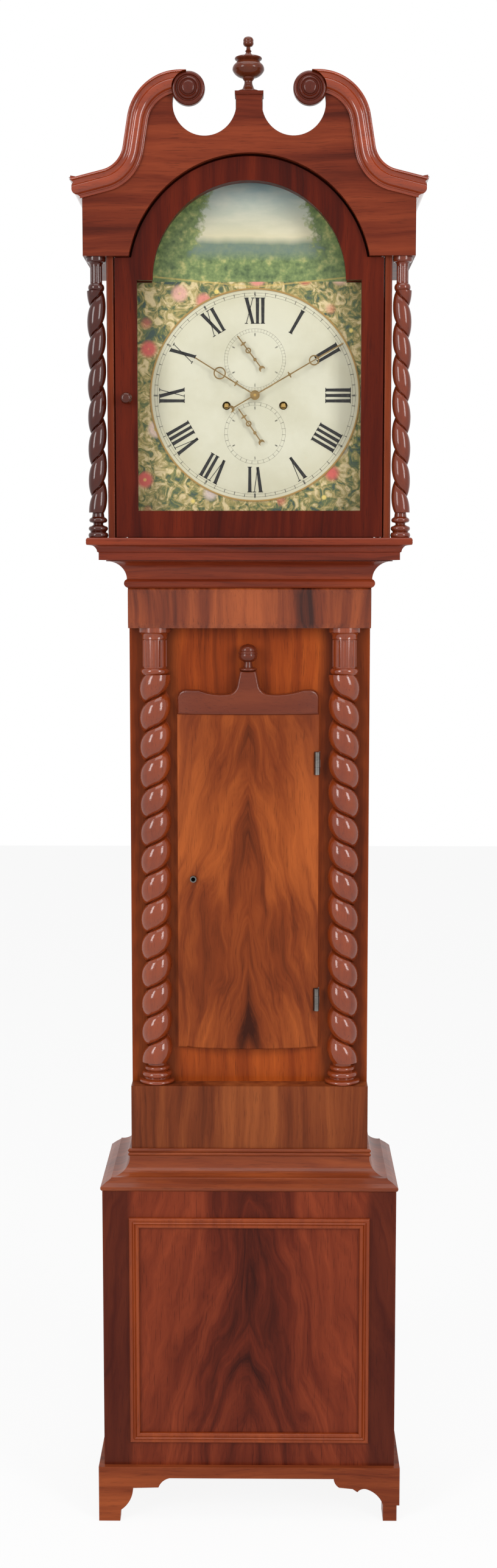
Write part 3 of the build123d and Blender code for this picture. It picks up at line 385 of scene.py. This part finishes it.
def ticks(turn, count, duty):
    """1 on count marks round a circle; duty is the part of the spacing that a mark fills."""
    return abs((turn * count).math("FRACT") - 0.5).math("GREATER_THAN", 0.5 - duty / 2)


def polar(paint, centre_x, centre_z):
    """The distance from a middle on the dial, and the part of a turn round it."""
    x, _, z = paint.xyz()
    dx, dz = x - centre_x, z - centre_z
    distance = (dx * dx + dz * dz).math("SQRT")
    turn = dx.math("ARCTAN2", dz) / (2 * math.pi) + 1.0
    return distance, turn


print("dial middle at", (DIAL_X, DIAL_Z))

# %% [markdown]
# The round middle carries the ivory ground, and the corners and the arch carry pictures. The arch has
# a landscape, with sky, far hills, a meadow and bushes that close it in at both sides. The corners
# have flowers and leaves on a dark ground. Noise and cells give them the look of brushwork.

# %% Ivory and pictures
HORIZON_Z = 1.912
MEADOW_Z = 1.897


def ivory(paint, distance):
    """The ground of the round middle, which is yellower towards its edge."""
    cloud = paint.noise(paint.place, 14.0, 5.0)
    fine = paint.noise(paint.place, 160.0, 4.0)
    ground = paint.ramp(cloud, (0.3, (0.49, 0.47, 0.34)), (0.6, (0.56, 0.545, 0.42)))
    edge = ((distance - 0.10) * 14).clamped()
    ground = paint.mix(edge * 0.35, ground, (0.50, 0.46, 0.28))
    return paint.mix((fine - 0.62).clamped() * 1.2, ground, (0.55, 0.46, 0.28))


def landscape(paint):
    """Sky, far hills, a meadow and bushes, for the arch."""
    x, _, z = paint.xyz()
    hill = paint.noise(paint.vector(x, 0.0, 0.0), 9.0, 3.0) * 0.030
    leaf = paint.noise(paint.place, 110.0, 5.0)
    cloud = paint.noise(paint.vector(x * 2, 0.0, z * 6), 6.0, 4.0)
    sky = paint.ramp(((z - 1.92) * 8).clamped(), (0.0, (0.62, 0.55, 0.34)), (0.6, (0.27, 0.36, 0.35)),
                     (1.0, (0.16, 0.25, 0.28)))
    sky = paint.mix((cloud * 2.2 - 0.95).clamped() * 0.7, sky, (0.72, 0.66, 0.50))
    far = paint.mix(leaf, (0.07, 0.13, 0.13), (0.20, 0.24, 0.13))
    near = paint.ramp(leaf, (0.3, (0.05, 0.09, 0.03)), (0.55, (0.16, 0.22, 0.07)),
                      (0.75, (0.40, 0.38, 0.14)))
    ground = paint.mix((z - hill).below(HORIZON_Z, 0.012), sky, far)
    ground = paint.mix((z - hill * 0.5).below(MEADOW_Z, 0.014), ground, near)
    bush = abs(x - DIAL_X) + leaf * 0.05 + (z - 1.9) * 0.30
    return paint.mix(bush.below(0.118, 0.01), near, ground)


def spray(paint):
    """Flowers and leaves on a dark ground, for the corners."""
    cells = paint.node("TexVoronoi", {"feature": "F1"}, Vector=paint.place, Scale=26.0, Randomness=0.9)
    leaf = paint.noise(paint.place, 60.0, 5.0, 0.6, 1.5)
    fine = paint.noise(paint.place, 240.0, 3.0)
    ground = paint.ramp(leaf, (0.34, (0.03, 0.06, 0.05)), (0.43, (0.10, 0.13, 0.04)),
                        (0.52, (0.34, 0.27, 0.09)), (0.62, (0.62, 0.50, 0.27)))
    hue = paint.xyz(cells.node.outputs["Color"])[0]
    flower = paint.ramp(hue, (0.25, (0.55, 0.10, 0.08)), (0.5, (0.72, 0.52, 0.40)),
                        (0.75, (0.10, 0.26, 0.38)))
    near = paint.value(cells)
    ground = paint.mix(near.below(0.30, 0.16) * (hue * 1.4).below(0.95, 0.05), ground, flower)
    ground = paint.mix(near.below(0.09, 0.05), ground, (0.70, 0.55, 0.15))
    return paint.mix((fine - 0.5).clamped(), ground, (0.03, 0.03, 0.02))


print("horizon at", HORIZON_Z, "m and meadow from", MEADOW_Z, "m")

# %% [markdown]
# The whole dial is one paint: pictures first, then the ivory disc over them, then the marks in worn
# black and the thin brass rim. The glass of the hood door is old and a little rippled. It has to
# leave the dial clear to see, so it is nearly transparent and neither bends nor mirrors the light.

# %% Dial paint and glass
PICTURE_SPLIT_Z = 1.868
SPLIT_LINE_Z = 1.8685
IVORY_R, RIM_R, RIM_WIDE = 0.1512, 0.152, 0.0026
MINUTE_LINES = ((0.1462, 0.0005), (0.1422, 0.0004))
MINUTE_R = 0.1442
SMALL_DIALS = ((DIAL_X, 1.757, 60), (DIAL_X, 1.652, 31))
SMALL_OUTER, SMALL_INNER, SMALL_MARKS, SMALL_SIXTHS = 0.0445, 0.0400, 0.0422, 0.0360


def black_marks(paint, distance, turn):
    """Minute ring and the rings of the seconds and the date, as a mask."""
    (outer, outer_line), (inner, inner_line) = MINUTE_LINES
    lines = ring_mask(distance, outer, outer_line) + ring_mask(distance, inner, inner_line)
    minute = ticks(turn, 60, 0.07) * ring_mask(distance, MINUTE_R, 0.0045)
    fifth = ticks(turn, 12, 0.035) * ring_mask(distance, MINUTE_R, 0.0060)
    marks = lines + minute * 1.3 + fifth
    for centre_x, centre_z, count in SMALL_DIALS:
        near, around = polar(paint, centre_x, centre_z)
        marks = marks + ring_mask(near, SMALL_OUTER, 0.0005) * 0.7
        marks = marks + ring_mask(near, SMALL_INNER, 0.0004) * 0.7
        marks = marks + ticks(around, count, 0.10) * ring_mask(near, SMALL_MARKS, 0.0046) * 0.8
        marks = marks + ticks(around, 6, 0.05) * ring_mask(near, SMALL_SIXTHS, 0.0040) * 0.9
    return marks


def dial_paint():
    paint = Finish("dial_paint")
    distance, turn = polar(paint, DIAL_X, DIAL_Z)
    x, _, z = paint.xyz()
    picture = paint.mix(z.math("GREATER_THAN", PICTURE_SPLIT_Z), spray(paint), landscape(paint))
    border = paint.noise(paint.place, 200.0, 3.0)
    split_line = abs(z - SPLIT_LINE_Z - (abs(x - DIAL_X) - 0.08) * 0.1).below(0.0012, 0.001)
    picture = paint.mix(split_line * border.clamped(), picture, (0.55, 0.38, 0.10))
    ground = ivory(paint, distance)
    marks = black_marks(paint, distance, turn)
    worn = (paint.noise(paint.place, 300.0, 3.0) * 1.8 - 0.1).clamped()
    ground = paint.mix(marks.clamped() * worn, ground, (0.02, 0.018, 0.015))
    colour = paint.mix(distance.below(IVORY_R, 0.0006), picture, ground)
    rim = ring_mask(distance, RIM_R, RIM_WIDE)
    colour = paint.mix(rim, colour, (0.36, 0.22, 0.07))
    cracks = paint.node("TexVoronoi", {"feature": "DISTANCE_TO_EDGE"}, Vector=paint.place, Scale=120.0)
    crackle = paint.bump(paint.value(cracks).below(0.02, 0.02) * -1, 0.15, 0.0002)
    return paint.finish(Base_Color=colour, Roughness=0.42, Metallic=rim * 0.8, Coat_Weight=0.2,
                        Coat_Roughness=0.25, Normal=crackle)


def glass():
    pane = Finish("old_glass")
    ripple = pane.noise(pane.place, 7.0, 2.0)
    return pane.finish(Base_Color=(1.0, 1.0, 1.0), Roughness=0.0, Transmission_Weight=1.0, IOR=1.0,
                       Specular_IOR_Level=0.0, Alpha=0.06, Normal=pane.bump(ripple, 0.05, 0.001))


DIAL = dial_paint()
GLASS = glass()
print("made", DIAL.name, "and", GLASS.name)

# %% [markdown]
# Now every piece of the frame puts on its finish. A piece keeps its shape and place, and only the
# material in its slots changes. What stands in neither table is part of the brass movement.

# %% Dress the frame
FITTINGS = {
    GILT: ("hour_hand", "minute_hand", "date_hand", "escape_wheel"),
    STEEL: ("trunk_hinges_fixed", "trunk_door_hinges", "trunk_lock", "lock_bolt", "hood_door_pins",
            "hammer", "pallets", "pendulum_rod"),
    IRON: ("weight_going", "weight_strike"),
    GUT: ("line_going", "line_strike"),
    DIAL: ("dial_plate",),
    GLASS: ("hood_door_glass",),
    PINE: ("backboard", "seatboard", "hood_roof"),
}
finish_of = {name: material for material, names in FITTINGS.items() for name in names}


def dress(thing, material):
    """Puts one material in every slot of a piece."""
    if not thing.material_slots:
        thing.data.materials.append(material)
    for slot in thing.material_slots:
        slot.material = material


for name, thing in frame["nodes"].items():
    dress(thing, WOODS.get(name) or finish_of.get(name) or BRASS)
print("dressed", len(frame["nodes"]), "nodes")

# %% [markdown]
# The hour numerals are painted with a flat brush: thick strokes, thin strokes and fine serifs. Each
# stroke is a plane that is stretched and turned between two points, so its width can differ at its
# foot and its head.

# %% Numeral strokes
PAINT_Y, PAINT_THICK = -0.0601, 0.0001
NUMERAL_LOW, NUMERAL_HIGH = 0.103, 0.139
THICK, THIN, SERIF = 0.0050, 0.0010, 0.0011
ROMAN = ("XII", "I", "II", "III", "IIII", "V", "VI", "VII", "VIII", "IX", "X", "XI")
ADVANCE = {"I": 0.0078, "V": 0.0150, "X": 0.0150}
FOOT_IN = 0.0028


def black_paint():
    paint = Finish("numeral_black")
    wear = paint.noise(paint.place, 220.0, 4.0)
    colour = paint.mix((wear * 2 - 1.05).clamped(), (0.006, 0.006, 0.006), (0.08, 0.07, 0.05))
    return paint.finish(Base_Color=colour, Roughness=0.35)


BLACK = black_paint()


def stroke(foot, head, width_foot, width_head):
    """One brush stroke between two (across, up) points of the upright numeral, as a thin plate."""
    length = math.dist(foot, head)
    lean = math.atan2(head[0] - foot[0], head[1] - foot[1])
    bpy.ops.mesh.primitive_plane_add(size=1.0, enter_editmode=True)
    plate = bpy.context.object
    bpy.ops.transform.resize(value=(width_foot, length, 1.0))
    mesh = plate.data
    bpy.ops.object.mode_set(mode="OBJECT")
    for vertex in mesh.vertices:
        if vertex.co.y > 0:
            vertex.co.x *= width_head / width_foot
    cos, sin = math.cos(lean), math.sin(lean)
    across, up = (foot[0] + head[0]) / 2, (foot[1] + head[1]) / 2
    for vertex in mesh.vertices:
        x, y = vertex.co.x, vertex.co.y
        vertex.co = (x * cos + y * sin + across, 0.0, y * cos - x * sin + up)
    return plate


print("strokes are", THICK, "m and", THIN, "m wide")

# %% [markdown]
# A numeral is a row of letters, each made of one or two strokes with a serif at every free end. The
# row is set upright over the dial's middle and then turned to its hour, so the lower ones stand on
# their heads, as they do on such dials.

# %% Letters and numerals
def letter(kind, left, low, high):
    """The strokes of I, V or X, from its left edge."""
    middle = left + ADVANCE[kind] / 2
    left_foot, right_foot = left + FOOT_IN, left + ADVANCE[kind] - FOOT_IN
    made = []
    if kind == "I":
        made.append(stroke((middle, low), (middle, high), THICK * 0.82, THICK))
        spans = ((middle, 0.0072, high), (middle, 0.0064, low))
    elif kind == "V":
        made.append(stroke((middle, low), (left_foot, high), THICK * 0.8, THICK))
        made.append(stroke((middle, low), (right_foot, high), THIN, THIN))
        spans = ((left_foot, 0.0070, high), (right_foot, 0.0050, high))
    else:
        made.append(stroke((right_foot, low), (left_foot, high), THICK * 0.85, THICK))
        made.append(stroke((left_foot, low), (right_foot, high), THIN, THIN))
        spans = ((left_foot, 0.0066, high), (right_foot, 0.0048, high), (right_foot, 0.0062, low),
                 (left_foot, 0.0046, low))
    for centre, width, height in spans:
        made.append(stroke((centre - width / 2, height), (centre + width / 2, height), SERIF, SERIF))
    return made


def numeral(hour):
    """All the strokes of one hour, turned round the dial."""
    word = ROMAN[hour]
    width = sum(ADVANCE[mark] for mark in word)
    left, strokes = -width / 2, []
    for mark in word:
        strokes.extend(letter(mark, left, NUMERAL_LOW, NUMERAL_HIGH))
        left += ADVANCE[mark]
    turn = math.radians(30 * hour)
    for plate in strokes:
        for vertex in plate.data.vertices:
            x, z = vertex.co.x, vertex.co.z
            vertex.co = (DIAL_X + x * math.cos(turn) + z * math.sin(turn), PAINT_Y,
                         DIAL_Z - x * math.sin(turn) + z * math.cos(turn))
    return strokes


print("letters:", ", ".join(ADVANCE))

# %% [markdown]
# The strokes of one numeral become one object, which is then raised to the thickness of paint. It
# lies on the dial, so it rides with the case.

# %% Paint the hours
def joined(pieces, name):
    """One object made of the pieces, with its place in its mesh."""
    bpy.ops.object.select_all(action="DESELECT")
    for piece in pieces:
        piece.select_set(True)
    bpy.context.view_layer.objects.active = pieces[0]
    bpy.ops.object.join()
    whole = bpy.context.object
    whole.name = name
    return whole


def raised(piece, thickness):
    """Gives flat paint its thickness, towards the front, and turns all faces outwards."""
    bpy.ops.object.select_all(action="DESELECT")
    piece.select_set(True)
    bpy.context.view_layer.objects.active = piece
    bpy.ops.object.mode_set(mode="EDIT")
    bpy.ops.mesh.select_all(action="SELECT")
    bpy.ops.mesh.extrude_region_move(TRANSFORM_OT_translate={"value": (0, -thickness, 0)})
    bpy.ops.mesh.select_all(action="SELECT")
    bpy.ops.mesh.normals_make_consistent(inside=False)
    bpy.ops.object.mode_set(mode="OBJECT")


for hour in range(12):
    figure = joined(numeral(hour), f"numeral_{hour or 12}")
    raised(figure, PAINT_THICK)
    figure.data.materials.append(BLACK)
    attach(figure, "case")
print("numerals:", len(ROMAN))

# %% [markdown]
# A gut line hangs in two runs from its barrel, down round the weight's pulley and up to the seatboard.
# As the weight is wound up, both runs grow shorter. Each is a slim cylinder with its ends rounded over.

# %% Gut lines
LINE_Y, LINE_OUT, LINE_R = 0.022, 0.020, 0.0009
BARREL_Z, SEAT_Z, PULLEY_Z = 1.6915, 1.626, 0.515
TRAINS = {"going": 0.0494, "strike": -0.0334}


def hanging_line(train, train_x):
    """The two runs of one train's line, on both sides of its weight's pulley."""
    runs = []
    for side, top in ((1, BARREL_Z), (-1, SEAT_Z)):
        place = (train_x + side * LINE_OUT, LINE_Y, (top + PULLEY_Z) / 2)
        bpy.ops.mesh.primitive_cylinder_add(vertices=16, radius=LINE_R, depth=top - PULLEY_Z, location=place)
        run = bpy.context.object
        bpy.ops.object.transform_apply(location=True, rotation=True, scale=True)
        rounding = run.modifiers.new("rounded ends", "BEVEL")
        rounding.width, rounding.segments = LINE_R * 0.6, 2
        bpy.ops.object.modifier_apply(modifier=rounding.name)
        runs.append(run)
    line = joined(runs, f"gut_{train}")
    line.data.materials.append(GUT)
    bpy.ops.object.shade_smooth_by_angle(angle=math.radians(40))
    bpy.context.scene.cursor.location = (0, 0, 0)
    bpy.ops.object.origin_set(type="ORIGIN_CURSOR")
    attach(line, "case")
    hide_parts(f"line_{train}")
    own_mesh(line)


for train, train_x in TRAINS.items():
    hanging_line(train, train_x)

# %% [markdown]
# The studio is white. A flat floor takes the clock's shadow, and both the floor and the world show as
# white to the camera, in the polish and through the glass, while they light the clock only softly.

# %% White floor and world
FLOOR_WIDE, FLOOR_GLOW, ROOM_LIGHT = 14.0, 0.9, 0.35


def shown_white(tree):
    """1 for the rays that show the background: to the camera, in polish and through glass."""
    rays = tree.nodes.new("ShaderNodeLightPath")
    seen = Value(tree, rays.outputs["Is Camera Ray"])
    for kind in ("Is Glossy Ray", "Is Transmission Ray"):
        seen = seen.math("MAXIMUM", Value(tree, rays.outputs[kind]))
    return seen


def studio_white():
    """A matt white that glows for the rays that show it."""
    white = Finish("studio_white")
    white.finish(Base_Color=(0.88, 0.88, 0.88), Roughness=0.9)
    glow = white.node("Emission", Color=(1.0, 1.0, 1.0), Strength=1.0)
    both = white.tree.nodes.new("ShaderNodeMixShader")
    plug(white.tree, both.inputs[0], shown_white(white.tree) * FLOOR_GLOW)
    white.tree.links.new(white.shader.outputs[0], both.inputs[1])
    white.tree.links.new(glow, both.inputs[2])
    white.tree.links.new(both.outputs[0], white.tree.nodes["Material Output"].inputs[0])
    return white.material


def floor():
    bpy.ops.mesh.primitive_plane_add(size=FLOOR_WIDE, location=(0, 0, 0))
    ground = bpy.context.object
    ground.name = "studio_floor"
    ground.data.materials.append(studio_white())


def world():
    """A dim room for the light, and white for what the rays show."""
    sky = bpy.data.worlds.new("studio")
    bpy.context.scene.world = sky
    sky.use_nodes = True
    tree = sky.node_tree
    room = tree.nodes["Background"]
    room.inputs[0].default_value = (1, 1, 1, 1)
    room.inputs[1].default_value = ROOM_LIGHT
    white = tree.nodes.new("ShaderNodeBackground")
    white.inputs[0].default_value = (1, 1, 1, 1)
    white.inputs[1].default_value = 1.0
    both = tree.nodes.new("ShaderNodeMixShader")
    plug(tree, both.inputs[0], shown_white(tree))
    tree.links.new(room.outputs[0], both.inputs[1])
    tree.links.new(white.outputs[0], both.inputs[2])
    tree.links.new(both.outputs[0], tree.nodes["World Output"].inputs[0])


floor()
world()
print("floor", FLOOR_WIDE, "m wide")

# %% [markdown]
# Two large soft lamps stand at both sides in front and put long highlights on the polish, and a third
# hangs overhead. The camera stands where the photograph was taken, 2.86 m in front of the clock's
# middle and 1.46 m up, and looks down by six and a half degrees.

# %% Lamps and camera
CAMERA_PLACE = (0.0282, -2.857, 1.4558)
CAMERA_PITCH, CAMERA_YAW = 83.478, 0.606
LENS_MM, SENSOR_MM = 43.32, 36.0
BODY_MIDDLE, BODY_LOW = (0, 0, 1.1), (0, 0, 0.5)


def lamp(name, place, size, power, aim):
    """A soft rectangular lamp that points at a place."""
    bpy.ops.object.light_add(type="AREA", location=place)
    light = bpy.context.object
    light.name = name
    light.data.shape = "RECTANGLE"
    light.data.size, light.data.size_y = size
    light.data.energy = power
    direction = [a - b for a, b in zip(aim, place)]
    flat = math.hypot(direction[0], direction[1])
    light.rotation_euler = (math.pi / 2 + math.atan2(direction[2], flat), 0,
                            math.atan2(direction[1], direction[0]) - math.pi / 2)


def camera():
    pitch, yaw = math.radians(CAMERA_PITCH), math.radians(CAMERA_YAW)
    bpy.ops.object.camera_add(location=CAMERA_PLACE, rotation=(pitch, 0, yaw))
    view = bpy.context.object
    view.data.sensor_width = SENSOR_MM
    view.data.lens = LENS_MM
    view.data.clip_end = 60.0
    bpy.context.scene.camera = view


lamp("left_softbox", place=(-2.3, -2.6, 2.3), size=(1.0, 2.2), power=62, aim=BODY_MIDDLE)
lamp("right_softbox", place=(2.3, -2.6, 2.3), size=(1.0, 2.2), power=62, aim=BODY_MIDDLE)
lamp("overhead", place=(0, -0.6, 4.0), size=(2.5, 2.5), power=45, aim=BODY_LOW)
camera()
bpy.context.scene.view_settings.view_transform = "Standard"
print("camera at", CAMERA_PLACE, "with a lens of", LENS_MM, "mm")
